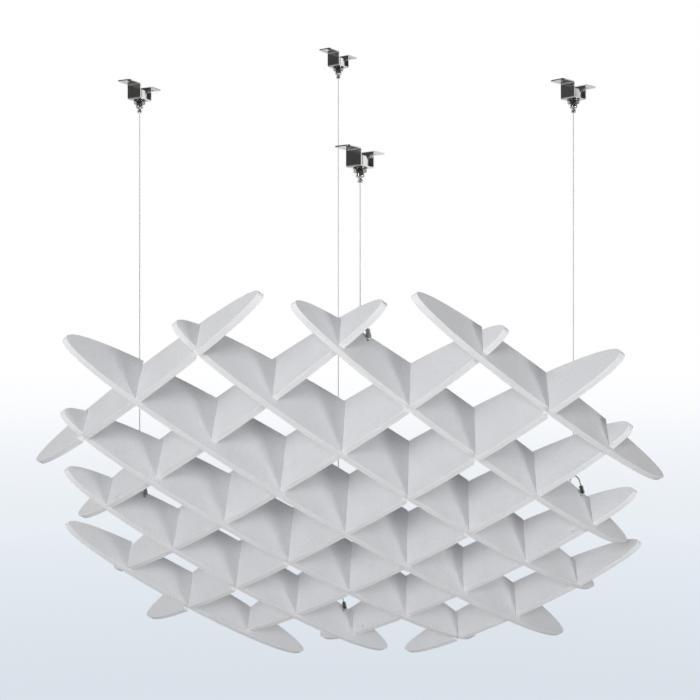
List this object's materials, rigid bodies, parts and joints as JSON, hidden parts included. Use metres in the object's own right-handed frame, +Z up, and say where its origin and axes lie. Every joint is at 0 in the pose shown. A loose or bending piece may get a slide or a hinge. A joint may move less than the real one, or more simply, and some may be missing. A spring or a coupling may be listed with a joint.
{
  "type": "hanging lattice divider panel",
  "caption": "Lattice of interlocking lens-shaped felt fins, hung at a slope on plumb wires from hat-shaped ceiling brackets with adjustable cable grippers.",
  "frame": {"origin": "ceiling face of the near bracket, on the flange left of its channel, between the channel and the screw slot", "axes": "+Z up along the plumb wires, -Y towards the viewer whom the panel faces, +X to that viewer's right"},
  "size_m": [1.1379, 0.852, 1.3186],
  "materials": {
    "felt": "pressed light grey polyester felt, matt, paler on its cut edges",
    "bright_steel": "bright zinc-plated steel",
    "dark_steel": "dark zinc-plated steel",
    "wire": "fine twisted galvanised steel wire"
  },
  "bodies": {
    "root": {"fin_a1": "felt", "fin_a2": "felt", "fin_a3": "felt", "fin_a4": "felt", "fin_a5": "felt", "fin_a6": "felt", "fin_a7": "felt", "fin_b1": "felt", "fin_b2": "felt", "fin_b3": "felt", "fin_b4": "felt", "fin_b5": "felt", "fin_b6": "felt", "fin_b7": "felt", "link_near": "bright_steel", "wire_near": "wire", "ferrule_near": "bright_steel", "link_right": "bright_steel", "wire_right": "wire", "ferrule_right": "bright_steel", "link_far": "bright_steel", "wire_far": "wire", "ferrule_far": "bright_steel", "link_left": "bright_steel", "wire_left": "wire", "ferrule_left": "bright_steel"},
    "adjuster_near": {"bracket_near": "bright_steel", "washer_near": "dark_steel", "lower_nut_near": "dark_steel", "upper_nut_near": "bright_steel", "gripper_near": "bright_steel"},
    "plunger_near": {"plunger_near": "bright_steel", "jaw_near": "dark_steel"},
    "sleeve_near": {"sleeve_near": "dark_steel"},
    "adjuster_right": {"bracket_right": "bright_steel", "washer_right": "dark_steel", "lower_nut_right": "dark_steel", "upper_nut_right": "bright_steel", "gripper_right": "bright_steel"},
    "plunger_right": {"plunger_right": "bright_steel", "jaw_right": "dark_steel"},
    "sleeve_right": {"sleeve_right": "dark_steel"},
    "adjuster_far": {"bracket_far": "bright_steel", "washer_far": "dark_steel", "lower_nut_far": "dark_steel", "upper_nut_far": "bright_steel", "gripper_far": "bright_steel"},
    "plunger_far": {"plunger_far": "bright_steel", "jaw_far": "dark_steel"},
    "sleeve_far": {"sleeve_far": "dark_steel"},
    "adjuster_left": {"bracket_left": "bright_steel", "washer_left": "dark_steel", "lower_nut_left": "dark_steel", "upper_nut_left": "bright_steel", "gripper_left": "bright_steel"},
    "plunger_left": {"plunger_left": "bright_steel", "jaw_left": "dark_steel"},
    "sleeve_left": {"sleeve_left": "dark_steel"}
  },
  "joints": [
    {"name": "adjust_near", "type": "slide", "parent": "root", "child": "adjuster_near", "axis": [0, 0, 1], "range_m": [-0.012, 0.01]},
    {"name": "release_near", "type": "slide", "parent": "adjuster_near", "child": "plunger_near", "axis": [0, 0, 1], "range_m": [0, 0.0015], "stiffness_N_per_m": 600, "springref_m": -0.002},
    {"name": "unscrew_near", "type": "slide", "parent": "root", "child": "sleeve_near", "axis": [-0.2251, 0.1858, 0.9565], "range_m": [0, 0.0085]},
    {"name": "adjust_right", "type": "slide", "parent": "root", "child": "adjuster_right", "axis": [0, 0, 1], "range_m": [-0.012, 0.01]},
    {"name": "release_right", "type": "slide", "parent": "adjuster_right", "child": "plunger_right", "axis": [0, 0, 1], "range_m": [0, 0.0015], "stiffness_N_per_m": 600, "springref_m": -0.002},
    {"name": "unscrew_right", "type": "slide", "parent": "root", "child": "sleeve_right", "axis": [-0.2251, 0.1858, 0.9565], "range_m": [0, 0.0085]},
    {"name": "adjust_far", "type": "slide", "parent": "root", "child": "adjuster_far", "axis": [0, 0, 1], "range_m": [-0.012, 0.01]},
    {"name": "release_far", "type": "slide", "parent": "adjuster_far", "child": "plunger_far", "axis": [0, 0, 1], "range_m": [0, 0.0015], "stiffness_N_per_m": 600, "springref_m": -0.002},
    {"name": "unscrew_far", "type": "slide", "parent": "root", "child": "sleeve_far", "axis": [-0.2251, 0.1858, 0.9565], "range_m": [0, 0.0085]},
    {"name": "adjust_left", "type": "slide", "parent": "root", "child": "adjuster_left", "axis": [0, 0, 1], "range_m": [-0.012, 0.01]},
    {"name": "release_left", "type": "slide", "parent": "adjuster_left", "child": "plunger_left", "axis": [0, 0, 1], "range_m": [0, 0.0015], "stiffness_N_per_m": 600, "springref_m": -0.002},
    {"name": "unscrew_left", "type": "slide", "parent": "root", "child": "sleeve_left", "axis": [-0.2251, 0.1858, 0.9565], "range_m": [0, 0.0085]}
  ]
}
